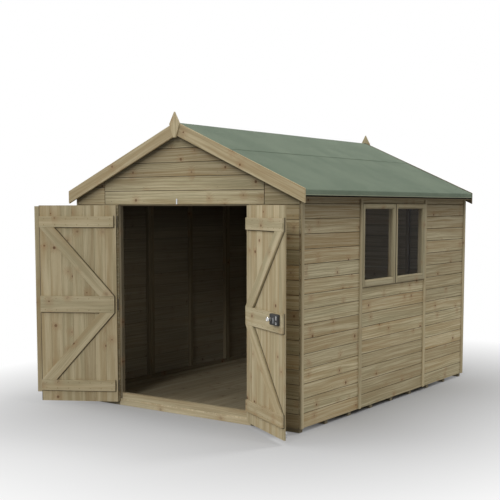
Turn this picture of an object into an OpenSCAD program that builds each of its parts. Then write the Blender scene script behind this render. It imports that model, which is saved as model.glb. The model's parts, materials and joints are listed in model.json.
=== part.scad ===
// Garden shed with framed walls, an apex roof, two hinged doors and two fixed windows.
// Millimetres, +Z up. The front faces -Y. The origin is on the ground, under the middle of the centre bearer.

/* [Shed] */
// Width over the boarding of the side walls
shed_w = 2400; // [2000:10:3000]
// Depth over the boarding of the front and rear walls
shed_d = 3180; // [2600:10:4200]
// Height of the roof's underside at the outer face of a side wall
eaves_h = 1920; // [1890:5:2200]
// Slope of the roof in degrees
roof_pitch = 24; // [15:0.5:35]

/* [Floor] */
// Number of bearers, odd so that one is in the middle
bearer_n = 9; // [5:2:13]
// Width of a bearer
bearer_w = 46; // [30:1:80]
// Height of a bearer
bearer_h = 46; // [40:1:80]
// Thickness of the floor boards
floor_t = 14; // [10:1:25]
// Height of the sill in the doorway
sill_h = 54; // [40:1:70]

/* [Walls] */
// Thickness of the boarding
clad_t = 12; // [9:0.5:20]
// Height of the boarding's lower edge above the ground
clad_foot = 35; // [15:1:40]
// Width of a stud, rail or plate seen square on
stud_w = 38; // [28:1:50]
// Depth of a stud, rail or plate through the wall
stud_d = 38; // [28:1:60]
// Width of the middle panel of a side wall, joint to joint
mid_panel_w = 1272; // [1000:2:1500]
// Gap between neighbouring wall panels
panel_gap = 4; // [2:0.5:8]
// Width of the cover strips
strip_w = 36; // [30:1:60]
// Thickness of the cover strips
strip_t = 14; // [8:1:20]

/* [Windows] */
// Height of the boarding over the windows
header_h = 121; // [105:1:200]
// Height of the windows over their frames
window_h = 712; // [500:1:900]
// Width of a window's stiles and top rail
window_bar = 42; // [30:1:60]
// Height of a window's bottom rail
window_foot = 58; // [40:1:80]
// How far a window's frame stands proud of the boarding
window_proud = 16; // [8:1:30]
// Gap between the two window frames
window_gap = 10; // [3:1:20]
// Distance from a panel joint to the window frame beside it
window_margin = 24; // [20:1:30]
// Thickness of the panes
pane_t = 3; // [2:0.5:6]
// How far a pane laps behind its frame
pane_lap = 10; // [6:1:14]

/* [Doors] */
// Width of a door leaf
door_w = 697; // [550:1:800]
// Distance from the roof's underside at a side wall down to the boarding's edge over the doorway
lintel_drop = 125; // [100:1:250]
// Thickness of a leaf's boards
door_t = 14; // [10:1:20]
// Gap between the closed leaves
meet_gap = 6; // [5:0.5:10]
// Gap between a closed leaf and the boarding beside it
door_gap = 6; // [5:0.5:10]
// Gap between a closed leaf and the boarding over it
head_gap = 8; // [5:0.5:15]
// Gap between a closed leaf and the jamb behind it
stop_gap = 5; // [5:0.5:8]
// How far a closed leaf laps over its jamb
jamb_lap = 14; // [10:1:25]
// How far a closed leaf laps over the head rail
head_lap = 5; // [4:1:25]
// How far the left door stands open, in degrees from closed
left_open = 150.5; // [0:0.5:170]
// How far the right door stands open, in degrees from closed
right_open = 149; // [0:0.5:170]
// Height of the top and bottom ledges
ledge_w = 96; // [70:1:130]
// Height of the middle ledge
mid_ledge_w = 147; // [100:1:180]
// Thickness of the ledges and braces
ledge_t = 20; // [14:1:28]
// Distance from a leaf's top to its top ledge
ledge_drop = 97; // [60:1:150]
// Clearance between the sill and the closed bottom ledges
sill_gap = 16; // [5:1:60]
// Distance from a leaf's meeting edge to its ledges
ledge_inset = 6; // [4:1:20]
// Clearance between the closed ledges and the jamb
ledge_gap = 5; // [5:0.5:12]
// Width of the braces
brace_w = 100; // [60:1:110]

/* [Meeting strip] */
// Width of the strip's part on the left leaf
meet_strip_on = 28; // [20:1:50]
// Width of the strip's part that laps over the right leaf
meet_strip_lap = 46; // [15:1:48]
// Thickness of the strip
meet_strip_t = 18; // [12:1:24]
// Clearance between the strip and the closed right leaf
meet_clear = 5; // [5:0.5:7]
// Distance from the leaf's foot to the strip
meet_strip_rise = 75; // [70:1:150]
// Distance from the leaf's top to the strip
meet_strip_drop = 7; // [0:1:50]

/* [Hinges] */
// Distance from the boarding's face to the hinge pins
pin_out = 8; // [6.5:0.5:10]
// Radius of the hinge pins
pin_r = 2.5; // [2:0.25:3]
// Clearance between a pin and the knuckle that turns on it
pin_fit = 0.05; // [0.02:0.01:0.1]
// Outer radius of the knuckles
knuckle_r = 4.5; // [4:0.25:5]
// Distance from the pins to the edge of a leaf
hinge_edge = 8; // [7:0.5:12]
// Height of the knuckle on a strap
knuckle_h = 40; // [38:1:60]
// Gap between neighbouring knuckles
knuckle_gap = 0.4; // [0.2:0.1:1]
// Length of the straps
strap_l = 330; // [150:1:450]
// Height of the straps at the knuckle
strap_w = 34; // [24:1:36]
// Height of the straps at the tip
strap_tip = 20; // [12:1:24]
// Thickness of the straps and plates
hinge_t = 3; // [2:0.25:4]
// Height of the fixed plates
plate_h = 100; // [80:1:140]
// Width of the fixed plates
plate_w = 46; // [30:1:70]

/* [Lock and bolt] */
// Width of the rim lock's case
lock_w = 128; // [80:1:140]
// Height of the rim lock's case
lock_h = 84; // [60:1:95]
// Depth of the rim lock's case
lock_d = 28; // [18:1:40]
// Corner radius of the rim lock's case
lock_r = 8; // [2:1:16]
// Distance from the leaf's edge to the rim lock's case
lock_inset = 36; // [10:1:60]
// Distance from the middle ledge's top to the rim lock's case
lock_drop = 5; // [3:1:30]
// Radius of the turning knob
knob_r = 20; // [8:1:24]
// How far the knob stands out of the case
knob_l = 30; // [15:1:40]
// Distance from the case's inner end to the knob's middle
knob_inset = 20; // [16:1:50]
// Height of the foot bolt's plate
bolt_h = 56; // [40:1:56]
// Width of the foot bolt's plate
bolt_w = 24; // [22:1:30]
// Radius of the foot bolt's rod
bolt_r = 7; // [5:0.5:8]
// Distance from the leaf's meeting edge to the foot bolt's middle
bolt_inset = 22; // [18:1:60]
// Distance from the leaf's foot to the foot bolt's plate
bolt_rise = 8; // [5:1:8]
// Height of the keep over the doorway
keep_h = 46; // [30:1:70]
// Width of the keep over the doorway
keep_w = 14; // [8:1:30]
// Distance from the middle of the doorway to the keep's middle
keep_x = 32; // [10:1:80]

/* [Roof] */
// Overhang of the roof past the side walls, felt included
eaves_over = 64; // [55:1:120]
// Overhang of the roof boards past the front and rear boarding
gable_over = 30; // [20:1:80]
// Thickness of the roof boards
roof_t = 11; // [8:1:20]
// Thickness of the felt
felt_t = 3; // [2:0.5:5]
// Height of the felt's fold over the eaves
apron_h = 45; // [30:1:70]
// Width of the ridge felt on each slope
ridge_felt_w = 580; // [300:1:700]
// Width and height of the battens under the roof's edges
batten = 30; // [20:1:35]
// Height of the battens along the eaves, whose feet show below the felt
eaves_batten_h = 50; // [30:1:60]
// Width of the ridge beam and purlins
purlin_w = 38; // [30:1:60]
// Height of the ridge beam
ridge_h = 95; // [60:1:140]
// Height of the purlins
purlin_h = 60; // [45:1:100]
// Width of the bargeboards across the slope
barge_w = 102; // [70:1:150]
// Thickness of the bargeboards
barge_t = 20; // [14:1:30]
// How far the bargeboards stand above the felt, plumb
barge_rise = 8; // [4:0.5:20]
// Gap between the bargeboards at the ridge
barge_gap = 1; // [0.5:0.5:3]
// Width of the finials
finial_w = 108; // [60:1:150]
// Height of the finials
finial_h = 213; // [150:1:240]
// Height of the finials' points above the bargeboards
finial_rise = 82; // [40:1:90]
// Height of the pointed part of the finials
finial_point = 100; // [50:1:120]
// Width of the finials' feet
finial_foot = 28; // [10:1:60]
// Thickness of the finials
finial_t = 18; // [12:1:25]

/* [Hidden] */
// Faces of the walls
wall_x = shed_w / 2;
wall_y = shed_d / 2;
frame_x = wall_x - clad_t;
frame_y = wall_y - clad_t;
room_x = frame_x - stud_d;
room_y = frame_y - stud_d;
floor_z = bearer_h + floor_t;
plate_z = floor_z + stud_w;

// Slope of the roof: heights at a distance x from the ridge, with a slight fit between sloped faces
roof_fit = 0.2;
slope = tan(roof_pitch);
plumb = 1 / cos(roof_pitch);
function under(x) = eaves_h + (wall_x - x) * slope;
function seat(x) = under(x) - roof_fit;
function board_top(x) = under(x) + roof_t * plumb;
function felt_foot(x) = board_top(x) + roof_fit;
function felt_top(x) = felt_foot(x) + felt_t * plumb;
function barge_top(x) = felt_top(x) + barge_rise;
rail_v = stud_w * plumb;
batten_v = batten * plumb;
barge_v = barge_w * plumb;
roof_x = wall_x + eaves_over - felt_t;
roof_y = wall_y + gable_over;
ridge_felt_x = ridge_felt_w / plumb;
beam_foot = seat(0) - ridge_h;

// Panels, windows and strips of the side walls
joint_y = mid_panel_w / 2;
panels = [
  [-frame_y, -joint_y - panel_gap / 2],
  [-joint_y + panel_gap / 2, joint_y - panel_gap / 2],
  [joint_y + panel_gap / 2, frame_y]
];
rail_foot = eaves_h - stud_w;
window_top = eaves_h - header_h;
window_sill = window_top - window_h;
window_y = joint_y - window_margin;

// Doorway: leaf edges, pins, jambs and head
leaf_x = meet_gap / 2 + door_w;
pin_x = leaf_x + hinge_edge;
pin_y = -wall_y - pin_out;
doorway_x = leaf_x + door_gap;
jamb_x = leaf_x - jamb_lap;
lintel_z = eaves_h - lintel_drop;
door_top = lintel_z - head_gap;
head_z = door_top - head_lap;

// Leaf in its own frame: pin at the origin, x towards the meeting edge, y into the shed
leaf_in = pin_out + clad_t - stop_gap;
leaf_out = leaf_in - door_t;
leaf_end = hinge_edge + door_w;
ledge_in = leaf_in + ledge_t;
ledge_x0 = pin_x - jamb_x + ledge_gap;
ledge_x1 = leaf_end - ledge_inset;
top_ledge_z = door_top - ledge_drop - ledge_w;
foot_ledge_z = floor_z + sill_h + sill_gap;
mid_ledge_z = (top_ledge_z + foot_ledge_z + ledge_w - mid_ledge_w) / 2;
hinge_zs = [foot_ledge_z + ledge_w / 2, mid_ledge_z + mid_ledge_w / 2, top_ledge_z + ledge_w / 2];

// Small allowances that never change the look
seam = 2;
web_l = 10;

$fn = 48;

timber = "#b09a72";
framing = "#8c7a58";
sheathing = "#a08a5e";
felt_green = "#71846c";
steel = "#b9bcbf";
dark_metal = "#2b2d30";
clear = "#8a9497";

// Shared shapes

// A box between two corners
module block(lo, hi) {
  translate(lo) cube(hi - lo);
}

// A flat outline in x and z, made solid from y0 to y1
module along_y(y0, y1) {
  translate([0, y1, 0]) rotate([90, 0, 0]) linear_extrude(y1 - y0) children();
}

// An outline from x0 to x1 between a lower edge and the roof's seat less a drop
module under_roof(x0, x1, foot, drop = 0) {
  polygon([[x0, foot], [x1, foot], [x1, seat(x1) - drop], [x0, seat(x0) - drop]]);
}

// A strip of even depth that follows the slope, its upper edge a lift above the roof's underside
module sloped_strip(x0, x1, lift, depth) {
  polygon([
    [x0, under(x0) + lift - depth], [x1, under(x1) + lift - depth],
    [x1, under(x1) + lift], [x0, under(x0) + lift]
  ]);
}

module both_sides() {
  children();
  mirror([1, 0, 0]) children();
}

module both_ends() {
  children();
  mirror([0, 1, 0]) children();
}

// Floor

module floor_bearers() {
  pitch = (2 * frame_y - bearer_w) / (bearer_n - 1);
  color(framing)
    for (i = [0 : bearer_n - 1])
      translate([-frame_x, -frame_y + i * pitch, 0]) cube([2 * frame_x, bearer_w, bearer_h]);
}

module floor_boards() {
  color(timber) block([-frame_x, -frame_y, bearer_h], [frame_x, frame_y, floor_z]);
}

module door_sill() {
  color(timber) block([-jamb_x, -frame_y, floor_z], [jamb_x, -room_y, floor_z + sill_h]);
}

// Front wall

module front_wall_right() {
  color(timber) block([doorway_x, -wall_y, clad_foot], [frame_x, -frame_y, lintel_z]);
}

module front_wall_left() {
  mirror([1, 0, 0]) front_wall_right();
}

module front_gable() {
  color(timber)
    along_y(-wall_y, -frame_y)
      polygon([
        [-frame_x, lintel_z], [frame_x, lintel_z], [frame_x, seat(frame_x)],
        [0, seat(0)], [-frame_x, seat(frame_x)]
      ]);
}

module front_studs() {
  color(framing) {
    both_sides() {
      block([jamb_x, -frame_y, plate_z], [jamb_x + stud_w, -room_y, head_z]);
      block([room_x - stud_w, -frame_y, plate_z], [room_x, -room_y, head_z]);
    }
    block([-stud_w / 2, -frame_y, head_z + stud_w], [stud_w / 2, -room_y, beam_foot - roof_fit]);
  }
}

module door_head_rail() {
  color(framing) block([-room_x, -frame_y, head_z], [room_x, -room_y, head_z + stud_w]);
}

// Side walls

module side_slab(y0, y1, foot) {
  along_y(y0, y1) under_roof(frame_x, wall_x, foot);
}

module outer_slabs() {
  both_ends() side_slab(joint_y + panel_gap / 2, wall_y, clad_foot);
}

module side_studs() {
  for (p = panels)
    for (y = [p[0], (p[0] + p[1] - stud_w) / 2, p[1] - stud_w])
      block([room_x, y, plate_z], [frame_x, y + stud_w, rail_foot]);
}

module left_wall() {
  color(timber)
    mirror([1, 0, 0]) {
      outer_slabs();
      side_slab(panels[1][0], panels[1][1], clad_foot);
    }
}

module left_studs() {
  color(framing) mirror([1, 0, 0]) side_studs();
}

module right_wall() {
  color(timber) {
    outer_slabs();
    side_slab(panels[1][0], panels[1][1], window_top);
    block([frame_x, panels[1][0], clad_foot], [wall_x, panels[1][1], window_sill]);
  }
}

module right_studs() {
  color(framing) side_studs();
}

module window_noggins() {
  color(framing)
    both_ends()
      for (z = [window_sill - stud_w, window_top])
        block([room_x, stud_w / 2, z], [frame_x, panels[1][1] - stud_w, z + stud_w]);
}

// Rear wall

module rear_wall_right() {
  color(timber) along_y(frame_y, wall_y) under_roof(panel_gap / 2, frame_x, clad_foot);
}

module rear_wall_left() {
  mirror([1, 0, 0]) rear_wall_right();
}

module rear_studs() {
  mid_x = (room_x - stud_w) / 2;
  color(framing)
    both_sides() {
      block([panel_gap / 2, room_y, plate_z], [panel_gap / 2 + stud_w, frame_y, beam_foot - roof_fit]);
      for (x = [mid_x, room_x - stud_w])
        along_y(room_y, frame_y) under_roof(x, x + stud_w, plate_z, rail_v + roof_fit);
    }
}

// Plates and rails of all walls

module sole_plates() {
  color(framing)
    both_sides() {
      for (p = panels)
        block([room_x, p[0], floor_z], [frame_x, p[1], plate_z]);
      block([jamb_x, -frame_y, floor_z], [room_x - panel_gap / 2, -room_y, plate_z]);
      block([panel_gap / 2, room_y, floor_z], [room_x - panel_gap / 2, frame_y, plate_z]);
    }
}

module top_plates() {
  color(framing)
    both_sides()
      for (p = panels)
        along_y(p[0], p[1]) under_roof(room_x, frame_x, rail_foot);
}

module gable_rails() {
  color(framing)
    both_ends() both_sides()
      along_y(room_y, frame_y) sloped_strip(purlin_w / 2, room_x, -roof_fit, rail_v);
}

// Cover strips

module side_strips() {
  for (y = [joint_y, wall_y - strip_w / 2])
    both_ends()
      along_y(y - strip_w / 2, y + strip_w / 2) under_roof(wall_x, wall_x + strip_t, clad_foot);
}

module right_cover_strips() {
  color(timber) side_strips();
}

module left_cover_strips() {
  color(timber) mirror([1, 0, 0]) side_strips();
}

module rear_cover_strip() {
  color(timber)
    block(
      [-strip_w / 2, wall_y, clad_foot],
      [strip_w / 2, wall_y + strip_t, seat(strip_w / 2) - batten_v - roof_fit]
    );
}

// Windows

module window_stiles() {
  color(timber)
    both_ends()
      for (y = [window_gap / 2, window_y - window_bar])
        block([frame_x, y, window_sill], [wall_x + window_proud, y + window_bar, window_top]);
}

module window_rails() {
  y0 = window_gap / 2 + window_bar;
  y1 = window_y - window_bar;
  color(timber)
    both_ends() {
      block([frame_x, y0, window_sill], [wall_x + window_proud, y1, window_sill + window_foot]);
      block([frame_x, y0, window_top - window_bar], [wall_x + window_proud, y1, window_top]);
    }
}

module window_panes() {
  color(clear, 0.4)
    both_ends()
      block(
        [frame_x - pane_t, window_gap / 2 + window_bar - pane_lap, window_sill + window_foot - pane_lap],
        [frame_x, window_y - window_bar + pane_lap, window_top - window_bar + pane_lap]
      );
}

// Roof

module roof_purlins() {
  color(framing) {
    along_y(-frame_y, frame_y)
      polygon([
        [-purlin_w / 2, beam_foot], [purlin_w / 2, beam_foot], [purlin_w / 2, seat(purlin_w / 2)],
        [0, seat(0)], [-purlin_w / 2, seat(purlin_w / 2)]
      ]);
    both_sides()
      along_y(-room_y, room_y)
        under_roof(
          (room_x - purlin_w) / 2, (room_x + purlin_w) / 2,
          under((room_x - purlin_w) / 2) - purlin_h
        );
  }
}

module roof_board_right() {
  color(sheathing) along_y(-roof_y, roof_y) sloped_strip(0, roof_x, roof_t * plumb, roof_t * plumb);
}

module roof_board_left() {
  mirror([1, 0, 0]) roof_board_right();
}

module eaves_battens() {
  color(framing)
    both_sides()
      along_y(-roof_y, roof_y) under_roof(roof_x - batten, roof_x, under(roof_x) - eaves_batten_h);
}

module gable_battens() {
  color(framing)
    both_ends() both_sides()
      along_y(wall_y, roof_y) sloped_strip(seam / 2, roof_x - batten - seam, -roof_fit, batten_v);
}

module felt_right() {
  apron_foot = felt_top(roof_x) - apron_h;
  edge_x = roof_x + felt_t;
  color(felt_green)
    along_y(-roof_y, roof_y)
      polygon([
        [0, felt_foot(0)], [roof_x, felt_foot(roof_x)], [roof_x, apron_foot],
        [edge_x, apron_foot], [edge_x, felt_top(edge_x)], [0, felt_top(0)]
      ]);
}

module felt_left() {
  mirror([1, 0, 0]) felt_right();
}

module felt_ridge() {
  x = ridge_felt_x;
  foot = roof_fit;
  lift = roof_fit + felt_t * plumb;
  color(felt_green)
    along_y(-roof_y, roof_y)
      polygon([
        [-x, felt_top(x) + foot], [0, felt_top(0) + foot], [x, felt_top(x) + foot],
        [x, felt_top(x) + lift], [0, felt_top(0) + lift], [-x, felt_top(x) + lift]
      ]);
}

module bargeboards() {
  both_sides()
    along_y(roof_y, roof_y + barge_t)
      sloped_strip(barge_gap / 2, wall_x + eaves_over, barge_top(0) - under(0), barge_v);
}

module rear_bargeboards() {
  color(timber) bargeboards();
}

module front_bargeboards() {
  color(timber) mirror([0, 1, 0]) bargeboards();
}

module finials() {
  tip = barge_top(0) + finial_rise;
  half = finial_w / 2;
  foot = finial_foot / 2;
  color(timber)
    both_ends()
      along_y(roof_y + barge_t, roof_y + barge_t + finial_t)
        polygon([
          [0, tip], [half, tip - finial_point], [foot, tip - finial_h],
          [-foot, tip - finial_h], [-half, tip - finial_point]
        ]);
}

// Doors: each leaf is drawn closed on the left pin and turned to where it stands

module on_left_pin() {
  translate([-pin_x, pin_y, 0]) rotate([0, 0, -left_open]) children();
}

module on_right_pin() {
  mirror([1, 0, 0]) translate([-pin_x, pin_y, 0]) rotate([0, 0, -right_open]) children();
}

module leaf_boards() {
  color(timber) block([hinge_edge, leaf_out, clad_foot], [leaf_end, leaf_in, door_top]);
}

module leaf_ledges() {
  color(timber)
    for (l = [[top_ledge_z, ledge_w], [mid_ledge_z, mid_ledge_w], [foot_ledge_z, ledge_w]])
      block([ledge_x0, leaf_in, l[0]], [ledge_x1, ledge_in, l[0] + l[1]]);
}

// A brace from the hinge end of the middle ledge to the meeting end of another
module brace(z_mid, z_end) {
  run = ledge_x1 - ledge_x0;
  rise = abs(z_end - z_mid);
  // Level width that gives the brace its true width across the grain
  turn = asin(brace_w / sqrt(run * run + rise * rise)) + atan2(rise, run);
  level_w = brace_w / sin(turn);
  along_y(leaf_in, ledge_in)
    polygon([
      [ledge_x0, z_mid], [ledge_x0 + level_w, z_mid], [ledge_x1, z_end], [ledge_x1 - level_w, z_end]
    ]);
}

module leaf_braces() {
  color(timber) {
    brace(mid_ledge_z + mid_ledge_w, top_ledge_z);
    brace(mid_ledge_z, foot_ledge_z + ledge_w);
  }
}

// Tapered strap with a round tip, on the outer face of a leaf
module strap() {
  tip_r = strap_tip / 2;
  difference() {
    union() {
      along_y(leaf_out - hinge_t, leaf_out) {
        polygon([[0, -strap_w / 2], [strap_l - tip_r, -tip_r], [strap_l - tip_r, tip_r], [0, strap_w / 2]]);
        translate([strap_l - tip_r, 0]) circle(r = tip_r);
      }
      translate([0, 0, -knuckle_h / 2]) cylinder(h = knuckle_h, r = knuckle_r);
    }
    translate([0, 0, -knuckle_h]) cylinder(h = 2 * knuckle_h, r = pin_r + pin_fit);
  }
}

module leaf_straps() {
  color(steel)
    for (z = hinge_zs)
      translate([0, 0, z]) strap();
}

// Fixed plate on the boarding with the two outer knuckles and the pin
module hinge_plate() {
  inner = knuckle_h / 2 + knuckle_gap;
  outer = plate_h / 2;
  block([-web_l - plate_w, pin_out - hinge_t, -outer], [-web_l, pin_out, outer]);
  for (side = [0, 1])
    mirror([0, 0, side]) {
      translate([0, 0, inner]) cylinder(h = outer - inner, r = knuckle_r);
      block([-web_l, 0, inner], [0, pin_out, outer]);
    }
  translate([0, 0, -outer]) cylinder(h = 2 * outer, r = pin_r);
}

module hinge_plates() {
  color(steel)
    both_sides()
      for (z = hinge_zs)
        translate([-pin_x, pin_y, z]) hinge_plate();
}

module left_door_boards() {
  on_left_pin() leaf_boards();
}

module left_door_ledges() {
  on_left_pin() leaf_ledges();
}

module left_door_braces() {
  on_left_pin() leaf_braces();
}

module left_door_straps() {
  on_left_pin() leaf_straps();
}

module right_door_boards() {
  on_right_pin() leaf_boards();
}

module right_door_ledges() {
  on_right_pin() leaf_ledges();
}

module right_door_braces() {
  on_right_pin() leaf_braces();
}

module right_door_straps() {
  on_right_pin() leaf_straps();
}

// Strip on the left leaf's outer face, rebated where it laps over the right leaf
module left_door_meeting_strip() {
  face = leaf_out - meet_strip_t;
  x0 = leaf_end - meet_strip_on;
  x1 = leaf_end + meet_strip_lap;
  z0 = clad_foot + meet_strip_rise;
  z1 = door_top - meet_strip_drop;
  color(timber)
    on_left_pin()
      translate([0, 0, z0])
        linear_extrude(z1 - z0)
          polygon([
            [x0, face], [x1, face], [x1, leaf_out - meet_clear],
            [leaf_end, leaf_out - meet_clear], [leaf_end, leaf_out], [x0, leaf_out]
          ]);
}

// Lock, bolt and keep

lock_x0 = leaf_end - lock_inset - lock_w;
lock_z0 = mid_ledge_z + mid_ledge_w - lock_drop - lock_h;

module rim_lock_case() {
  color(dark_metal)
    on_right_pin()
      along_y(ledge_in, ledge_in + lock_d) {
        translate([lock_x0 + lock_r, lock_z0]) square([lock_w - 2 * lock_r, lock_h]);
        translate([lock_x0, lock_z0 + lock_r]) square([lock_w, lock_h - 2 * lock_r]);
        for (x = [lock_x0 + lock_r, lock_x0 + lock_w - lock_r])
          for (z = [lock_z0 + lock_r, lock_z0 + lock_h - lock_r])
            translate([x, z]) circle(r = lock_r);
      }
}

module rim_lock_knob() {
  color(steel)
    on_right_pin()
      along_y(ledge_in + lock_d, ledge_in + lock_d + knob_l)
        translate([lock_x0 + knob_inset, lock_z0 + lock_h / 2]) circle(r = knob_r);
}

module foot_bolt() {
  z0 = clad_foot + bolt_rise;
  x = leaf_end - bolt_inset;
  face = leaf_out - hinge_t;
  rod_y = face - bolt_r + seam;
  guide = bolt_h / 5;
  color(steel)
    on_right_pin() {
      block([x - bolt_w / 2, face, z0], [x + bolt_w / 2, leaf_out, z0 + bolt_h]);
      translate([x, rod_y, z0]) cylinder(h = bolt_h, r = bolt_r);
      for (z = [z0 + guide, z0 + 3 * guide])
        block([x - bolt_r - seam, rod_y - bolt_r - seam, z], [x + bolt_r + seam, face, z + guide]);
    }
}

module bolt_keep() {
  color(steel)
    block(
      [-keep_x - keep_w / 2, -wall_y - hinge_t, lintel_z],
      [-keep_x + keep_w / 2, -wall_y, lintel_z + keep_h]
    );
}

floor_bearers();
floor_boards();
door_sill();
front_wall_left();
front_wall_right();
front_gable();
front_studs();
door_head_rail();
left_wall();
left_studs();
right_wall();
right_studs();
window_noggins();
rear_wall_left();
rear_wall_right();
rear_studs();
sole_plates();
top_plates();
gable_rails();
left_cover_strips();
right_cover_strips();
rear_cover_strip();
window_stiles();
window_rails();
window_panes();
roof_purlins();
roof_board_left();
roof_board_right();
eaves_battens();
gable_battens();
felt_left();
felt_right();
felt_ridge();
front_bargeboards();
rear_bargeboards();
finials();
hinge_plates();
bolt_keep();
left_door_boards();
left_door_ledges();
left_door_braces();
left_door_straps();
left_door_meeting_strip();
right_door_boards();
right_door_ledges();
right_door_braces();
right_door_straps();
rim_lock_case();
rim_lock_knob();
foot_bolt();
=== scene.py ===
# %% [markdown]
# # A wooden garden shed with its doors open
# The shed is a pressure-treated softwood building: shiplap walls on studs, a felted apex roof, a pair of
# ledged and braced doors, and two fixed windows in the right wall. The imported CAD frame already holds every
# piece at its true size, so this lesson keeps that frame and dresses each piece with boards, grain, nails
# and finishes.

# %% Load the frame and keep its box
import bpy
import json
import math
import random
import numpy as np
from mathutils import Matrix, Vector


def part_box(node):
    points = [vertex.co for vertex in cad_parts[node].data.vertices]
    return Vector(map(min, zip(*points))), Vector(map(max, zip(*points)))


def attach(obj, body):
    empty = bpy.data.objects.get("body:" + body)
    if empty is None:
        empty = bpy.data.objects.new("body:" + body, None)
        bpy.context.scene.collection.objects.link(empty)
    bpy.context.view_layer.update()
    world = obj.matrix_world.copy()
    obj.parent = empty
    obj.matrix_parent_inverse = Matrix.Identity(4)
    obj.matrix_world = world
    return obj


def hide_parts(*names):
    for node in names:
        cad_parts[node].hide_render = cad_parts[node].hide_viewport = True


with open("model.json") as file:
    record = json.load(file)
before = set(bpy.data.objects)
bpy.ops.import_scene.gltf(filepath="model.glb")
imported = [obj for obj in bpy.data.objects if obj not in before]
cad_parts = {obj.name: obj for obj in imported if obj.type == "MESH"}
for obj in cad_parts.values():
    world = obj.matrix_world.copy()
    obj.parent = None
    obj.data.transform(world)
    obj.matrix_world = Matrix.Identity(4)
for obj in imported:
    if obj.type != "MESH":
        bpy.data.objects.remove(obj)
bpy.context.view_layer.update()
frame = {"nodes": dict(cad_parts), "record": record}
dice = random.Random(11)

# %% [markdown]
# ## Camera
# The photograph was fitted with a pinhole camera, so the camera's place, turn and lens are known numbers. It
# could be turned by eye instead, but then no edge would quite meet its own in the photograph. A small shift
# of the lens puts the shed at the photograph's height in the frame.

# %% Camera at the photograph's angle
CAMERA_AT = (5.162, -7.874, 1.775)
TILT_DOWN, TURN_LEFT = 0.0921, 0.6151
SENSOR, LENS, LENS_SHIFT = 36, 69.25, 0.0911
bpy.ops.object.select_all(action="DESELECT")
bpy.ops.object.camera_add(location=CAMERA_AT, rotation=(math.pi / 2 - TILT_DOWN, 0, TURN_LEFT))
camera = bpy.context.object
camera.name = "photo_camera"
camera.data.sensor_width = SENSOR
camera.data.lens = LENS
camera.data.shift_y = LENS_SHIFT
bpy.context.scene.camera = camera
bpy.context.scene.view_settings.view_transform = "Standard"
print("camera at", tuple(round(v, 3) for v in camera.location))

# %% [markdown]
# ## Writing shader maths as Python
# A wire is the output of a node. Adding, multiplying or comparing wires adds the Math nodes for it, so a
# pattern reads like a formula and not like a list of links. Every other node comes from one method that
# takes its type, its settings and its sockets.

# %% Colours
def srgb(red, green, blue):
    """A colour as seen on screen, from 0 to 255, as the linear colour that a shader wants."""
    def linear(value):
        value /= 255
        return value / 12.92 if value <= 0.04045 else ((value + 0.055) / 1.055) ** 2.4
    return (linear(red), linear(green), linear(blue), 1.0)


WHITE = (1, 1, 1, 1)
print("mid grey on screen is", round(srgb(128, 128, 128)[0], 3), "in a shader")

# %% Wires
class Wire:
    """A node's output. Arithmetic on it adds Math nodes."""

    def __init__(self, tree, socket):
        self.tree, self.socket = tree, socket

    def math(self, operation, *values):
        node = self.tree.nodes.new("ShaderNodeMath")
        node.operation = operation
        for socket, value in zip(node.inputs, values):
            plug(self.tree, socket, value)
        return Wire(self.tree, node.outputs[0])

    def __add__(self, other):
        return self.math("ADD", self, other)

    def __radd__(self, other):
        return self.math("ADD", other, self)

    def __sub__(self, other):
        return self.math("SUBTRACT", self, other)

    def __rsub__(self, other):
        return self.math("SUBTRACT", other, self)

    def __mul__(self, other):
        return self.math("MULTIPLY", self, other)

    def __rmul__(self, other):
        return self.math("MULTIPLY", other, self)

    def __truediv__(self, other):
        return self.math("DIVIDE", self, other)

    def __pow__(self, other):
        return self.math("POWER", self, other)

    def __gt__(self, other):
        return self.math("GREATER_THAN", self, other)

    def __abs__(self):
        return self.math("ABSOLUTE", self)

    def sine(self):
        return self.math("SINE", self)

    def fraction(self):
        return self.math("FRACT", self)

    def least(self, other):
        return self.math("MINIMUM", self, other)

    def most(self, other):
        return self.math("MAXIMUM", self, other)


def plug(tree, socket, value):
    """Links a wire to a socket, or sets a plain value on it."""
    if isinstance(value, Wire):
        tree.links.new(value.socket, socket)
    else:
        socket.default_value = value


# %% Nodes
class Nodes:
    """Helpers for the nodes of one tree."""

    def __init__(self, tree):
        self.tree = tree

    def node(self, kind, settings=None, sockets=None, output=0):
        made = self.tree.nodes.new(kind)
        for name, value in (settings or {}).items():
            setattr(made, name, value)
        for name, value in (sockets or {}).items():
            plug(self.tree, made.inputs[name], value)
        return Wire(self.tree, made.outputs[output])

    def attribute(self, name, output="Vector"):
        return self.node("ShaderNodeAttribute", {"attribute_name": name}, output=output)

    def object_place(self):
        return self.node("ShaderNodeTexCoord", output="Object")

    def split(self, vector):
        made = self.node("ShaderNodeSeparateXYZ", sockets={"Vector": vector}).socket.node
        return [Wire(self.tree, out) for out in made.outputs]

    def place(self):
        """A point's x, y and z in the shed's frame."""
        return self.split(self.object_place())

    def vector(self, x, y, z):
        return self.node("ShaderNodeCombineXYZ", sockets={"X": x, "Y": y, "Z": z})

    def noise(self, vector, scale=1.0, detail=2.0, roughness=0.5):
        sockets = {"Vector": vector, "Scale": scale, "Detail": detail, "Roughness": roughness}
        return self.node("ShaderNodeTexNoise", sockets=sockets)

    def ramp(self, value, low, high):
        """A smooth rise from 0 at the low value to 1 at the high one."""
        sockets = {"Value": value, "From Min": low, "From Max": high}
        return self.node("ShaderNodeMapRange", {"interpolation_type": "SMOOTHSTEP"}, sockets)

    def mix(self, factor, first, second):
        sockets = {0: factor, 6: first, 7: second}
        return self.node("ShaderNodeMix", {"data_type": "RGBA"}, sockets, output=2)

    def choose(self, factor, first, second):
        return self.node("ShaderNodeMixShader", sockets={0: factor, 1: first, 2: second})


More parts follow.
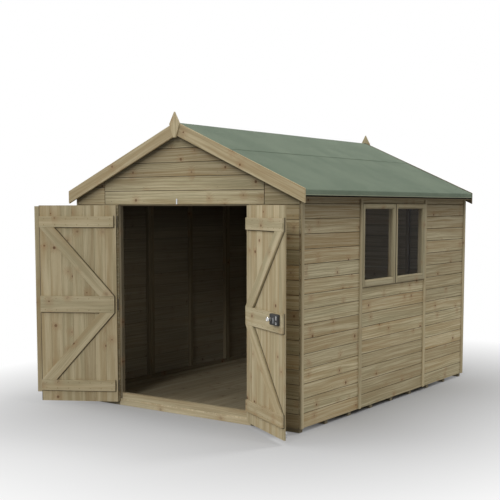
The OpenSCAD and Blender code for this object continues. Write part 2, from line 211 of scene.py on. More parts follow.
# %% Finishes
class Finish(Nodes):
    """A material with one Principled shader."""

    def __init__(self, name, roughness=0.8, metallic=0.0, ior=1.45):
        self.material = bpy.data.materials.new(name)
        self.material.use_nodes = True
        super().__init__(self.material.node_tree)
        self.shader = self.tree.nodes["Principled BSDF"]
        self.set("Roughness", roughness)
        self.set("Metallic", metallic)
        self.set("IOR", ior)

    def bump(self, height, strength, distance):
        sockets = {"Height": height, "Strength": strength, "Distance": distance}
        self.set("Normal", self.node("ShaderNodeBump", sockets=sockets))

    def set(self, socket, value):
        plug(self.tree, self.shader.inputs[socket], value)


# %% [markdown]
# ## Treated softwood
# The boards are green-tinged pressure-treated softwood: tan, with long streaks, growth rings that bend round
# knots, and each board a little different from its neighbour. One wood pattern in the shed's own coordinates
# would run straight on from board to board. So every board carries its own grain coordinates in an attribute:
# metres along, across and through the board, moved by a random amount. One finish then follows the grain of
# level, upright and sloping boards alike, and no two boards repeat.

# %% Knots
KNOT_CELLS = 6


def knots_in(finish, along, across, share):
    """Scattered knots: the knot, its dark heart, the bent grain round it, and how dark each one is."""
    spots = finish.vector(along * KNOT_CELLS, across * KNOT_CELLS, 0.0)
    cells, at = {"voronoi_dimensions": "2D"}, {"Vector": spots, "Scale": 1.0}
    gap = finish.node("ShaderNodeTexVoronoi", cells, at, output="Distance")
    chance, size, depth = finish.split(finish.node("ShaderNodeTexVoronoi", cells, at, output="Color"))
    present = chance > 1 - share
    reach = gap - size * 0.05
    knot = (1 - finish.ramp(reach, 0.025, 0.05)) * present
    heart = (1 - finish.ramp(reach, 0.0, 0.03)) * present
    swirl = (1 - finish.ramp(gap, 0.02, 0.42)) * present
    return knot, heart, swirl, depth


# %% Timber finish
TIMBER_ROUGHNESS = 0.82
SHADE, FIBRE = srgb(106, 94, 70), srgb(98, 84, 60)
KNOT_RING, KNOT, KNOT_HEART = srgb(152, 112, 74), srgb(120, 76, 44), srgb(62, 40, 26)
# Painted shade colours: greyer and darker indoor faces, near black in the shiplap hollows, and the shade that
# the place functions paint.
INDOOR_PAINTED_SHADE, LAP_PAINTED_SHADE, PAINTED_SHADE_COLOUR = srgb(122, 117, 109), srgb(37, 32, 24), srgb(50, 45, 36)


def timber_finish(name, green, brown, pale, knots=0.3, variety=1.0, streaks=(44, 4.0, 0.95), painted_shade=None):
    """Treated softwood. The streaks are how many to the metre, how fine, and how strong. The last argument,
    if given, paints shade by a point's place.
    """
    finish = Finish(name, roughness=TIMBER_ROUGHNESS)
    finish.set("Specular IOR Level", 0.25)
    along, straight, through = finish.split(finish.attribute("grain"))
    tone = finish.attribute("tone", output="Fac")
    hollow = finish.attribute("hollow", output="Fac")
    drift = finish.noise(finish.vector(along * 1.1, straight * 5, through * 5))
    across = straight + drift * 0.05
    knot, heart, swirl, depth = knots_in(finish, along, straight, knots)
    rings = (across * 420 + through * 260 + drift * 22 + swirl * 13).sine() * 0.5 + 0.5
    many, fine, strong = streaks
    streak = finish.noise(finish.vector(along * 1.2, across * many, through * many), 1.0, fine, 0.62)
    band = finish.noise(finish.vector(along * 0.6, across * 11, through * 11))
    fibre = finish.noise(finish.vector(along * 18, across * 430, through * 430))
    colour = finish.mix(finish.ramp(tone * 0.6 * variety + band * 1.3, 0.40, 1.35), green, brown)
    light = finish.ramp(streak + rings * 0.07, 0.40, 0.72)
    colour = finish.mix(light * strong, colour, pale)
    shade = finish.ramp((tone * 7.3).fraction() * variety + band * 1.1, 0.4, 1.7)
    colour = finish.mix(shade * 0.5, colour, SHADE)
    colour = finish.mix(swirl * (1 - knot) * 0.30, colour, KNOT_RING)
    colour = finish.mix(knot * (depth * 0.4 + 0.35), colour, KNOT)
    colour = finish.mix(heart * depth * 0.65, colour, KNOT_HEART)
    colour = finish.mix(finish.ramp(fibre, 0.54, 0.82) * 0.35, colour, FIBRE)
    # Painted shade: indoor faces are painted greyer and darker, and the shiplap hollows near black.
    colour = finish.mix(hollow * -1, colour, INDOOR_PAINTED_SHADE)
    colour = finish.mix(hollow * 0.9, colour, LAP_PAINTED_SHADE)
    # Painted shade: the place function darkens the colour where shade would fall.
    if painted_shade:
        colour = finish.mix(painted_shade(finish) * 0.8, colour, PAINTED_SHADE_COLOUR)
    finish.set("Base Color", colour)
    finish.set("Roughness", TIMBER_ROUGHNESS + 0.1 - light * 0.14)
    finish.bump(fibre * 0.5 + rings * 0.3 - knot * 0.4, 0.35, 0.0012)
    return finish.material


# %% [markdown]
# ## One timber, many places
# The same wood shows a different tone in each place. The tones differ a little as timber does, and much of
# the difference is painted light and shade: paler where light falls, grey or dark where shade falls. Each
# place gets its own three tones, and where the tone changes along a piece, a painted shade: a function that
# says from a point's place in the shed how dark it is. Painting the tones by hand would need an image.

# %% Timber for doors, trim and bargeboards
DOOR_TONES = srgb(168, 158, 127), srgb(182, 157, 116), srgb(204, 191, 158), 0.36, 0.45, (20, 2.5, 0.75)
door_timber = timber_finish("treated_door_bars", *DOOR_TONES)
TRIM_TONES = srgb(164, 154, 125), srgb(174, 153, 117), srgb(196, 183, 150)
trim_timber = timber_finish("treated_trim", *TRIM_TONES, 0.3, 0.5)
BARGE_TONES = srgb(168, 156, 125), srgb(181, 157, 117), srgb(202, 188, 153), 0.45, 0.5
barge_timber = timber_finish("treated_bargeboards", *BARGE_TONES)
REAR_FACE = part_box("rear_bargeboards")[1][1]
UNSHADED_DEPTH = 0.0015


def painted_shade_rear_barge(finish):
    """Painted shade darkens the rear bargeboards' edges and ends, but not their outer face."""
    y = finish.place()[1]
    return 1 - (y > REAR_FACE - UNSHADED_DEPTH)


rear_barge_timber = timber_finish("rear_bargeboards", *BARGE_TONES, painted_shade=painted_shade_rear_barge)
print("timber for", door_timber.name, trim_timber.name, barge_timber.name, rear_barge_timber.name)

# %% Timber in and beside the windows
window_lo, window_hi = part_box("window_stiles")
HALF_GAP = 0.0057


def painted_shade_between_frames(finish):
    """Painted shade in the narrow gap between the two window frames."""
    y = finish.place()[1]
    return 1 - (abs(y) > HALF_GAP)


WINDOW_TONES = srgb(146, 139, 113), srgb(154, 139, 108), srgb(172, 163, 134), 0.2, 0.5
window_timber = timber_finish("treated_window_frames", *WINDOW_TONES, painted_shade=painted_shade_between_frames)
# Painted light: the studs and noggins by the windows, seen through the glass, get pale tones that stand in
# for the light on them.
PAINTED_LIGHT_TONES = srgb(184, 171, 141), srgb(188, 169, 134), srgb(200, 187, 157), 0.2, 0.4
painted_light_framing = timber_finish("framing_by_the_windows", *PAINTED_LIGHT_TONES, painted_shade=painted_shade_between_frames)
print("timber for", window_timber.name, painted_light_framing.name)

# %% Timber under the floor and inside
BEHIND_FRONT_BEARER = -1.5
BEHIND_BOARD_ENDS = -1.577
DOORWAY_SIDE = 0.72
PITCH = math.radians(24)
RIDGE_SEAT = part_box("front_gable")[1][2]


def painted_shade_under_floor(finish):
    """Painted shade darkens the bearers under the floor; only the front bearer under the doorway stays pale.
    """
    x, y, _ = finish.place()
    return (y > BEHIND_FRONT_BEARER).most(abs(x) > DOORWAY_SIDE) * 0.8


def painted_shade_indoor_floor(finish):
    """Painted shade: the floor behind the boards' front ends is darker, and the front ends stay pale."""
    y = finish.place()[1]
    return (y > BEHIND_BOARD_ENDS) * 0.65


def below_roof(x, z):
    """How far a point lies below the roof's slope, and its distance from the middle of the shed."""
    away = abs(x)
    return RIDGE_SEAT - away * math.tan(PITCH) - z, away


def painted_shade_high_up(finish):
    """Painted shade: framing is darker high up under the roof."""
    x, _, z = finish.place()
    below = below_roof(x, z)[0]
    return (1 - finish.ramp(below, 0.1, 0.9)) * 0.6


# The bearers' tones are pale, as painted light on the front bearer; painted shade darkens the rest.
BEARER_TONES = srgb(186, 175, 144), srgb(194, 172, 134), srgb(212, 199, 166)
bearer_timber = timber_finish("treated_bearers", *BEARER_TONES, 0.3, 0.5, painted_shade=painted_shade_under_floor)
# The framing tones are darker and greyer, partly the sawn timber's own colour and partly painted shade
# indoors.
FRAME_TONES = srgb(118, 110, 91), srgb(124, 111, 89), srgb(142, 131, 108)
frame_timber = timber_finish("sawn_framing", *FRAME_TONES, 0.3, 0.6, painted_shade=painted_shade_high_up)
# The floor tones are pale; painted shade darkens the floor behind the front ends.
FLOOR_TONES = srgb(196, 183, 150), srgb(204, 182, 143), srgb(220, 206, 172)
floor_timber = timber_finish("bare_floor_boards", *FLOOR_TONES, 0.3, 0.6, painted_shade=painted_shade_indoor_floor)
ROOF_TONES = srgb(152, 132, 96), srgb(164, 140, 100), srgb(186, 164, 122)
roof_timber = timber_finish("bare_roof_boards", *ROOF_TONES, 0.4)
print("timber for", bearer_timber.name, frame_timber.name, floor_timber.name, roof_timber.name)

# %% [markdown]
# ## Floor bearers, framing and trim
# These are plain planed or sawn timbers, so the CAD solids have the right shape. They could stay as they are
# with a new material, but then their edges would be razor sharp and all would share one grain. So each piece
# starts from a copy of its CAD node: the solids are merged, their edges eased with a bevel, and the longest
# direction of each becomes its grain.

# %% Selecting, copying and joining
def focus(piece):
    """Selects one piece alone and makes it active."""
    bpy.ops.object.select_all(action="DESELECT")
    piece.select_set(True)
    bpy.context.view_layer.objects.active = piece


def twin(piece):
    """A copy of a piece with its own mesh."""
    copy = piece.copy()
    copy.data = piece.data.copy()
    bpy.context.scene.collection.objects.link(copy)
    return copy


def join(name, pieces):
    """Joins pieces into the first one, under a new name."""
    bpy.ops.object.select_all(action="DESELECT")
    for piece in pieces:
        piece.select_set(True)
    bpy.context.view_layer.objects.active = pieces[0]
    if len(pieces) > 1:
        bpy.ops.object.join()
    pieces[0].name = name
    pieces[0].data.name = name
    return pieces[0]


# %% Eased edges, and handing a piece over
TURN_LIMIT = math.radians(35)


def ease_edges(piece, width):
    """Rounds a piece's sharp edges a little, as planing and handling do."""
    ease = piece.modifiers.new("eased_edges", "BEVEL")
    ease.width = width
    ease.segments = 2
    ease.limit_method = "ANGLE"
    ease.angle_limit = TURN_LIMIT
    focus(piece)
    bpy.ops.object.modifier_apply(modifier=ease.name)


def finish_piece(piece, material, body, slot, *nodes):
    """Gives a piece its material and its body, and hides the CAD nodes that it stands for.
    The slot is not used.
    """
    piece.data.materials.clear()
    piece.data.materials.append(material)
    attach(piece, body)
    if nodes:
        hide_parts(*nodes)
    print(piece.name, len(piece.data.polygons), "faces")
    return piece


# %% Grain for each board
def mark_grain(mesh, axes=None):
    """Writes each vertex's place along, across and through its board, and one tone for the whole board."""
    points = np.empty(len(mesh.vertices) * 3, dtype=np.float32)
    mesh.vertices.foreach_get("co", points)
    points = points.reshape(-1, 3)
    if axes is not None:
        points = points @ np.array(axes, dtype=np.float32).T
    shift = np.array([dice.uniform(0, 30), dice.uniform(0, 30), dice.uniform(0, 3)], dtype=np.float32)
    tones = np.full(len(mesh.vertices), dice.random(), dtype=np.float32)
    for name, kind in (("grain", "FLOAT_VECTOR"), ("tone", "FLOAT")):
        if name not in mesh.attributes:
            mesh.attributes.new(name, kind, "POINT")
    mesh.attributes["grain"].data.foreach_set("vector", (points + shift).ravel())
    mesh.attributes["tone"].data.foreach_set("value", tones)


def long_axes(mesh):
    """The board's own directions, the longest first, from the spread of its corners."""
    points = np.array([v.co for v in mesh.vertices])
    values, vectors = np.linalg.eigh(np.cov((points - points.mean(axis=0)).T))
    return vectors[:, np.argsort(values)[::-1]].T


# %% Timbers from the CAD solids
MERGE = 0.00002


def solids_of(node, edge=0.0):
    """Merged copies of a CAD node's solids, with their edges eased, one object each."""
    copy = twin(frame["nodes"][node])
    copy.parent = None
    copy.matrix_world = Matrix()
    for key in list(copy.keys()):
        del copy[key]
    copy.hide_viewport = copy.hide_render = False
    copy.hide_set(False)
    focus(copy)
    bpy.ops.mesh.customdata_custom_splitnormals_clear()
    bpy.ops.object.mode_set(mode="EDIT")
    bpy.ops.mesh.select_all(action="SELECT")
    bpy.ops.mesh.remove_doubles(threshold=MERGE)
    bpy.ops.mesh.dissolve_limited(angle_limit=math.radians(0.5))
    bpy.ops.object.mode_set(mode="OBJECT")
    while copy.data.uv_layers:
        copy.data.uv_layers.remove(copy.data.uv_layers[0])
    if edge:
        ease_edges(copy, edge)
    bpy.ops.object.mode_set(mode="EDIT")
    bpy.ops.mesh.select_all(action="SELECT")
    bpy.ops.mesh.separate(type="LOOSE")
    bpy.ops.object.mode_set(mode="OBJECT")
    return list(bpy.context.selected_objects)


def timbers(node, material, edge, body="shed", slot="treated_timber"):
    """One piece from a node's solids, each solid with its own grain."""
    pieces = solids_of(node, edge)
    for piece in pieces:
        mark_grain(piece.data, long_axes(piece.data))
    whole = join(node + "_timber", pieces)
    return finish_piece(whole, material, body, slot, node)


# %% Bearers, framing, sill and bargeboards
FRAMING = ("front_studs", "door_head_rail", "left_studs", "right_studs", "window_noggins", "rear_studs",
           "sole_plates", "top_plates", "gable_rails", "roof_purlins", "gable_battens")
# The framing by the windows takes pale tones, as painted light.
BY_THE_WINDOWS = ("right_studs", "window_noggins")
timbers("floor_bearers", bearer_timber, edge=0.0008, slot="framing_timber")
for node in FRAMING:
    wood = painted_light_framing if node in BY_THE_WINDOWS else frame_timber
    timbers(node, wood, edge=0.002, slot="framing_timber")
timbers("door_sill", trim_timber, edge=0.001)
for node in ("front_bargeboards", "finials"):
    timbers(node, barge_timber, edge=0.003)
timbers("rear_bargeboards", rear_barge_timber, edge=0.003)

# %% [markdown]
# ## Shiplap walls
# A shiplap board has a lip at its foot that hangs over the hollowed top of the board below. The hollow lies
# in the lip's shadow, which draws the thin dark lines across every wall, and it is painted darker as well, as
# painted shade. Lines in a bump map would vanish at the wall's corners, so the profile is modelled once for
# each panel length, copied up the wall, and cut along the roof's slope, board by board. Painted shade darkens
# the boards under the roof, in the doorway, behind the open door and just below the windows, and the indoor
# faces are painted grey and darker, as painted shade.

# %% Shiplap finish
WALL_INSIDE, WINDOW_WALL = 1.18, 1.15
JAMB_NEAR, JAMB_FAR = 0.69, 0.76
DOOR_HEAD = 1.79
FRONT_INSIDE = -1.58
WINDOW_SHADOW_BAND = 0.012


def painted_wall_shade(finish):
    """Painted shade on the boards: darker under the roof's edge and slope, high indoors, in the doorway,
    behind the open door, under the bargeboards and just below the windows.
    """
    x, y, z = finish.place()
    below, away = below_roof(x, z)
    side_wall = away > WALL_INSIDE
    indoor_shade = (finish.attribute("hollow", output="Fac") * -1).most(0.0)
    wide = (1 - finish.ramp(below, 0.1, 1.6)) * (side_wall.most(y > 0) * 0.21 + 0.04)
    close = (1 - finish.ramp(below, 0.07, 0.45)) * 0.3
    overhead = (1 - finish.ramp(below, 0.1, 0.8)) * indoor_shade * 0.9
    in_doorway = (1 - finish.ramp(away, JAMB_NEAR, JAMB_FAR)) * (1 - (z > DOOR_HEAD)) * (1 - (y > 0)) * 0.5
    behind_door = (x > DOORWAY_SIDE) * (1 - (y > FRONT_INSIDE)) * (1 - finish.ramp(z, 0.2, 1.7)) * 0.35
    verge = (1 - finish.ramp(below, 0.09, 0.17)) * (1 - side_wall) * 0.5
    foot = window_lo[2]
    under_window = (x > WINDOW_WALL) * (1 - (abs(y) > window_hi[1])) * (1 - (z > foot)) * (z > foot - WINDOW_SHADOW_BAND)
    return wide + (close + overhead) + in_doorway + behind_door + verge + under_window * 0.6


SHIPLAP_TONES = srgb(160, 151, 119), srgb(180, 154, 111), srgb(210, 198, 164)
wall_timber = timber_finish("treated_shiplap", *SHIPLAP_TONES, 0.34, 0.6, (72, 3.5, 0.85), painted_shade=painted_wall_shade)
print("timber for", wall_timber.name)

# %% A bar with any cross-section
def face_outward(piece):
    """Turns all faces of a closed piece outward and ends edit mode."""
    if piece.mode != "EDIT":
        focus(piece)
        bpy.ops.object.mode_set(mode="EDIT")
    bpy.ops.mesh.select_all(action="SELECT")
    bpy.ops.mesh.normals_make_consistent(inside=False)
    bpy.ops.object.mode_set(mode="OBJECT")


def bar(name, outline, length):
    """A straight bar along X: a circle of points, laid on the outline of (y, z) points and extruded."""
    bpy.ops.object.select_all(action="DESELECT")
    bpy.ops.mesh.primitive_circle_add(vertices=len(outline), fill_type="NGON")
    piece = bpy.context.object
    piece.name = name
    for vertex, (y, z) in zip(piece.data.vertices, outline):
        vertex.co = (0, y, z)
    bpy.ops.object.mode_set(mode="EDIT")
    bpy.ops.mesh.select_all(action="SELECT")
    bpy.ops.mesh.extrude_region_move(TRANSFORM_OT_translate={"value": (length, 0, 0)})
    face_outward(piece)
    return piece


def lay(model, place):
    """A copy of a modelled board with its own grain, set in place."""
    piece = twin(model)
    mark_grain(piece.data)
    piece.data.transform(place)
    return piece


def drop(piece):
    """Removes a piece and its mesh."""
    mesh = piece.data
    bpy.data.objects.remove(piece)
    bpy.data.meshes.remove(mesh)


# %% Shiplap profile and panels
FRONT_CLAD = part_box("front_gable")
CLAD_T = FRONT_CLAD[1][1] - FRONT_CLAD[0][1]
CLAD_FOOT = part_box("front_wall_left")[0][2]
ROW = 0.1178
LAP, REBATE, EASE = 0.008, 0.0102, 0.0012
LEAST_BOARD = 0.004


def shiplap_outline(row):
    """The board's section as (up, out of the wall), with a hollow at the top and a rebate at the foot."""
    t = CLAD_T
    face = [(EASE, t), (row - 0.0062, t)]
    hollow = [(row - 0.0052, 0.82 * t), (row - 0.0035, 0.66 * t), (row - 0.0015, 0.56 * t)]
    tongue = [(row + LAP, 0.46 * t), (row + LAP, 0.0)]
    lip = [(REBATE, 0.0), (REBATE, 0.5 * t), (0.0, 0.5 * t), (0.0, t - EASE)]
    return face + hollow + tongue + lip


def mark_hollow(piece, depths, first, last):
    """Writes how deep in a hollow each corner of a bar lies, from 0 to 1, or below 0 on an indoor face;
    the timber finish paints both as shade.
    """
    depths = np.array(depths)
    values = np.concatenate([depths * first, depths * last]).astype(np.float32)
    piece.data.attributes.new("hollow", "FLOAT", "POINT").data.foreach_set("value", values)


def shiplap_panel(length, foot, top, row, place, indoor_shade=-0.6, first=1.0, last=1.0):
    """Boards of one length from foot to top, copied up the wall and set in place by a matrix."""
    model = bar("shiplap_board", shiplap_outline(row), length)
    # The hollows and the indoor faces carry painted shade; first and last scale it at each end of the board.
    mark_hollow(model, [0, 0, 0.2, 0.6, 1, 1, indoor_shade, indoor_shade, 1, 0.9, 0], first, last)
    boards = []
    height = foot
    while height < top - LEAST_BOARD:
        boards.append(lay(model, place @ Matrix.Translation((0, height, 0))))
        height += row
    drop(model)
    return boards


print("shiplap boards show", ROW, "m each and are", round(CLAD_T, 4), "m thick")

# %% Placing and cutting panels
UP, DOWN = (0, 0, 1), (0, 0, -1)


def wall_frame(origin, along, outward):
    """A matrix with X along the boards, Y up and Z out of the wall."""
    m = Matrix((Vector(along), Vector(UP), Vector(outward))).transposed().to_4x4()
    m.translation = Vector(origin)
    return m


def trim(piece, point, normal):
    """Cuts away what lies beyond a plane, closes the cut and turns the new faces outward."""
    focus(piece)
    bpy.ops.object.mode_set(mode="EDIT")
    bpy.ops.mesh.select_all(action="SELECT")
    bpy.ops.mesh.bisect(plane_co=point, plane_no=normal, use_fill=True, clear_outer=True)
    face_outward(piece)


def roof_cut(boards):
    """Cuts boards off along both slopes of the roof, one by one, so that each cut closes on its own."""
    seat = Vector((0, 0, RIDGE_SEAT))
    for side in (1, -1):
        slope = Vector((side * math.sin(PITCH), 0, math.cos(PITCH)))
        for board in boards:
            if any((v.co - seat).dot(slope) > 0 for v in board.data.vertices):
                trim(board, seat, slope)
    return boards


def cut_for_windows(panel):
    """Keeps what lies below and above the windows."""
    lower = join("under_windows", panel)
    upper = twin(lower)
    trim(lower, (0, 0, window_lo[2]), UP)
    trim(upper, (0, 0, window_hi[2]), DOWN)
    return [lower, upper]


# %% Side walls in three panels each
side_lo, side_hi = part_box("right_wall")
outer_x, inner_x = side_hi[0], side_lo[0]
front_y, rear_y = side_lo[1], side_hi[1]
STUD, PANEL_GAP = 0.038, 0.004
joint_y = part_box("window_noggins")[1][1] + STUD
spans = [(front_y, -joint_y - PANEL_GAP), (-joint_y, joint_y), (joint_y + PANEL_GAP, rear_y)]
for wall, side in (("left_wall", -1), ("right_wall", 1)):
    boards = []
    for start, stop in spans:
        corner = (side * inner_x, start if side > 0 else stop, 0)
        place = wall_frame(corner, (0, side, 0), (side, 0, 0))
        panel = roof_cut(shiplap_panel(stop - start, CLAD_FOOT, side_hi[2], ROW, place))
        if side > 0 and start == -joint_y:
            panel = cut_for_windows(panel)
        boards += panel
    whole = join(wall + "_shiplap", boards)
    finish_piece(whole, wall_timber, "shed", "treated_timber", wall)

# %% Front wall beside the doorway
FRONT_ROWS = 15
for node, ends in (("front_wall_left", (1.0, 0.0)), ("front_wall_right", (0.0, 1.0))):
    lo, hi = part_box(node)
    row = (hi[2] - lo[2]) / FRONT_ROWS
    place = wall_frame((lo[0], hi[1], 0), (1, 0, 0), (0, -1, 0))
    whole = join(node + "_shiplap", shiplap_panel(hi[0] - lo[0], lo[2], hi[2], row, place, -0.6, *ends))
    trim(whole, (0, 0, hi[2]), UP)
    finish_piece(whole, wall_timber, "shed", "treated_timber", node)

# %% Gable over the doorway: a middle panel between two seams, and a short panel at each side
lo, hi = FRONT_CLAD
SEAM_X, SEAM = 0.856, 0.007
boards = []
for start, stop in ((lo[0], -SEAM_X - SEAM), (-SEAM_X, SEAM_X), (SEAM_X + SEAM, hi[0])):
    place = wall_frame((start, hi[1], 0), (1, 0, 0), (0, -1, 0))
    row = ROW if start == -SEAM_X else 1.3 * ROW
    boards += roof_cut(shiplap_panel(stop - start, lo[2], hi[2], row, place))
whole = join("front_gable_shiplap", boards)
finish_piece(whole, wall_timber, "shed", "treated_timber", "front_gable")

# %% Rear wall: two panels with sloped tops
for node in ("rear_wall_left", "rear_wall_right"):
    lo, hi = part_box(node)
    place = wall_frame((hi[0], lo[1], 0), (-1, 0, 0), (0, 1, 0))
    boards = roof_cut(shiplap_panel(hi[0] - lo[0], lo[2], hi[2], ROW, place, -0.3))
    whole = join(node + "_shiplap", boards)
    finish_piece(whole, wall_timber, "shed", "treated_timber", node)

# %% Cover strips over the panel joints
# The cover strips take the walls' painted shade too.
STRIP_TONES = srgb(176, 165, 134), srgb(186, 164, 125), srgb(206, 193, 159)
strip_timber = timber_finish("treated_cover_strips", *STRIP_TONES, 0.25, 0.5, painted_shade=painted_wall_shade)
for node in ("left_cover_strips", "right_cover_strips", "rear_cover_strip"):
    timbers(node, strip_timber, edge=0.002)

# %% [markdown]
# ## Matched boards: floor, doors and roof
# Floor, doors and roof deck are flat boards that meet edge to edge with small chamfers, which show as fine V
# lines. A single slab with lines drawn on it would have one grain all over, so one board is modelled at the
# right length and copied across, and every copy has its own grain and tone.

# %% Floor boards
HAIR = 0.0002


def matched_outline(width, thick, chamfer):
    """A flat board's section with its four corners cut off, and a hair's gap to the next board."""
    c = chamfer
    return [
        (HAIR, c), (c, 0.0), (width - c, 0.0), (width - HAIR, c),
        (width - HAIR, thick - c), (width - c, thick), (c, thick), (HAIR, thick - c),
    ]


def matched_boards(name, length, total, count, thick, chamfer, place):
    """A number of equal boards side by side over a total width."""
    width = total / count
    model = bar(name, matched_outline(width, thick, chamfer), length)
    boards = [lay(model, place @ Matrix.Translation((0, i * width, 0))) for i in range(count)]
    drop(model)
    return join(name, boards)


FLOOR_COUNT, FLOOR_CHAMFER = 20, 0.0015
FRONT_TO_REAR = Matrix(((0, 1, 0, 0), (1, 0, 0, 0), (0, 0, 1, 0), (0, 0, 0, 1)))
lo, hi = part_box("floor_boards")
size = [hi[i] - lo[i] for i in range(3)]
place = Matrix.Translation((lo[0], lo[1], lo[2])) @ FRONT_TO_REAR
deck = matched_boards("floor_deck", size[1], size[0], FLOOR_COUNT, size[2], FLOOR_CHAMFER, place)
face_outward(deck)
finish_piece(deck, floor_timber, "shed", "floor_timber", "floor_boards")

# %% Door leaves in their own frames
joints = {j["name"]: j for j in frame["record"]["behaviour"]["joints"]}


def leaf_frame(side):
    """The matrix that takes a closed leaf, pin at the origin, to where it stands open."""
    joint = joints[side + "_door_hinge"]
    opened = math.radians(-joint["range_deg"][0]) * joint["axis"][2]
    pin = Vector((joint["pos_m"][0], joint["pos_m"][1], 0))
    return Matrix.Translation(pin) @ Matrix.Rotation(opened, 4, "Z")


def box_in(node, place):
    """A node's box in a leaf's own frame."""
    back = place.inverted()
    points = np.array([back @ v.co for v in frame["nodes"][node].data.vertices])
    return points.min(axis=0), points.max(axis=0)


for side in ("left", "right"):
    print(side, "leaf, lowest corner", np.round(box_in(side + "_door_boards", leaf_frame(side))[0], 4))

# %% [markdown]
# ## Painted shadow lines on the doors
# Painted shadow lines run along the ledges and braces, below them and on their right-hand side seen from the
# front with the doors open, and darken the boards there. The bars' own shadows on the boards are soft, so
# these lines are painted shadow in the finish. Each edge's two ends are read from the CAD solids, and what
# lies near the line between them is darkened, on the inner face only.

# %% Painted shadow lines beside the ledges and braces
SHADOW_NEAR, SHADOW_FAR = 0.003, 0.010


def shaded_edges(node, place):
    """The lower and right-hand edges of a node's bars, as pairs of (x, z) points in a leaf's own frame."""
    edges, back = [], place.inverted()
    for piece in solids_of(node):
        points = {(round((back @ v.co).x, 4), round((back @ v.co).z, 4)) for v in piece.data.vertices}
        drop(piece)
        middle = np.mean(list(points), axis=0)
        ring = sorted(points, key=lambda p: math.atan2(p[1] - middle[1], p[0] - middle[0]))
        for start, stop in zip(ring, ring[1:] + ring[:1]):
            outward = Vector((stop[1] - start[1], start[0] - stop[0])).normalized()
            if -outward.x - 0.6 * outward.y > 0.2:
                edges.append((start, stop))
    return edges


def painted_shadow_lines(place, edges, level):
    """Painted shadow: a dark line along the edges, on the leaf's inner face only."""
    pin, ahead = place.translation, place.to_3x3() @ Vector((1, 0, 0))
    inward = place.to_3x3() @ Vector((0, 1, 0))

    def painted_shade(finish):
        x, y, z = finish.place()
        out = (x - pin.x) * ahead.x + (y - pin.y) * ahead.y
        nearest = None
        for (ax, az), (bx, bz) in edges:
            run, rise = bx - ax, bz - az
            share = (((out - ax) * run + (z - az) * rise) / (run * run + rise * rise)).most(0.0).least(1.0)
            aside, above = out - ax - share * run, z - az - share * rise
            away = (aside * aside + above * above) ** 0.5
            nearest = away if nearest is None else nearest.least(away)
        inner = ((x - pin.x) * inward.x + (y - pin.y) * inward.y) > level
        return (1 - finish.ramp(nearest, SHADOW_NEAR, SHADOW_FAR)) * inner
    return painted_shade


# %% Door leaves
DOOR_COUNT, DOOR_CHAMFER = 7, 0.0014
for side in ("left", "right"):
    body = side + "_door"
    place = leaf_frame(side)
    lo, hi = box_in(body + "_boards", place)
    edges = shaded_edges(body + "_ledges", place) + shaded_edges(body + "_braces", place)
    # The left leaf also gets a painted shadow line along its free edge, beside the meeting strip.
    if side == "left":
        edges.append(((hi[0], lo[2]), (hi[0], hi[2])))
    # Each leaf's count of painted shadow lines is printed.
    print(side, "leaf", np.round(lo, 4), np.round(hi, 4), "damp lines", len(edges))
    painted_shade = painted_shadow_lines(place, edges, (lo[1] + hi[1]) / 2)
    leaf_timber = timber_finish(body + "_boarding", *DOOR_TONES, painted_shade=painted_shade)
    upright = place @ Matrix(((0, 1, 0, lo[0]), (0, 0, 1, lo[1]), (1, 0, 0, lo[2]), (0, 0, 0, 1)))
    wide, thick, high = hi - lo
    leaf = matched_boards(body + "_leaf", high, wide, DOOR_COUNT, thick, DOOR_CHAMFER, upright)
    finish_piece(leaf, leaf_timber, body, "treated_timber", body + "_boards")
    timbers(body + "_ledges", door_timber, edge=0.0025, body=body)
    timbers(body + "_braces", door_timber, edge=0.0025, body=body)
timbers("left_door_meeting_strip", door_timber, edge=0.002, body="left_door")

# %% Roof boards on both slopes
ROOF_COUNT, ROOF_THICK, ROOF_CHAMFER = 12, 0.011, 0.0015
for node, side in (("roof_board_left", -1), ("roof_board_right", 1)):
    lo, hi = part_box(node)
    run = (hi[0] - lo[0]) / math.cos(PITCH)
    down = Vector((side * math.cos(PITCH), 0, -math.sin(PITCH)))
    out = Vector((side * math.sin(PITCH), 0, math.cos(PITCH)))
    level = down.cross(out)
    place = Matrix((level, down, out)).transposed().to_4x4()
    place.translation = Vector((0, lo[1] if level.y > 0 else hi[1], RIDGE_SEAT + HAIR))
    boards = matched_boards(node + "_deck", hi[1] - lo[1], run, ROOF_COUNT, ROOF_THICK, ROOF_CHAMFER, place)
    trim(boards, (0, 0, 0), (-side, 0, 0))
    trim(boards, (hi[0] if side > 0 else lo[0], 0, 0), (side, 0, 0))
    finish_piece(boards, roof_timber, "shed", "roof_sheathing", node)

# %% [markdown]
# ## Windows
# Each window is a frame of stiles and rails with the pane set behind it. A wide chamfer runs along the bars
# beside the pane and stops where the bars meet. A bevel on the whole bar would run past the corner, so each
# upright is first cut across where its rails lie, and only the edge between the cuts is bevelled. The glass
# is clear: a thin dark tint and a soft reflection, with the inside of the shed showing through.

# %% Choosing edges and measuring solids
def pick_edges(piece, test):
    """Selects the edges whose two ends pass a test, and leaves the piece in edit mode."""
    focus(piece)
    bpy.ops.object.mode_set(mode="EDIT")
    bpy.ops.mesh.select_mode(type="EDGE")
    bpy.ops.mesh.select_all(action="DESELECT")
    bpy.ops.object.mode_set(mode="OBJECT")
    corners = piece.data.vertices
    for edge in piece.data.edges:
        edge.select = bool(test(corners[edge.vertices[0]].co, corners[edge.vertices[1]].co))
    bpy.ops.object.mode_set(mode="EDIT")


def bevel_edges(piece, test, width, segments):
    """Bevels the edges that pass a test."""
    pick_edges(piece, test)
    bpy.ops.mesh.bevel(offset=width, segments=segments, affect="EDGES")
    bpy.ops.object.mode_set(mode="OBJECT")


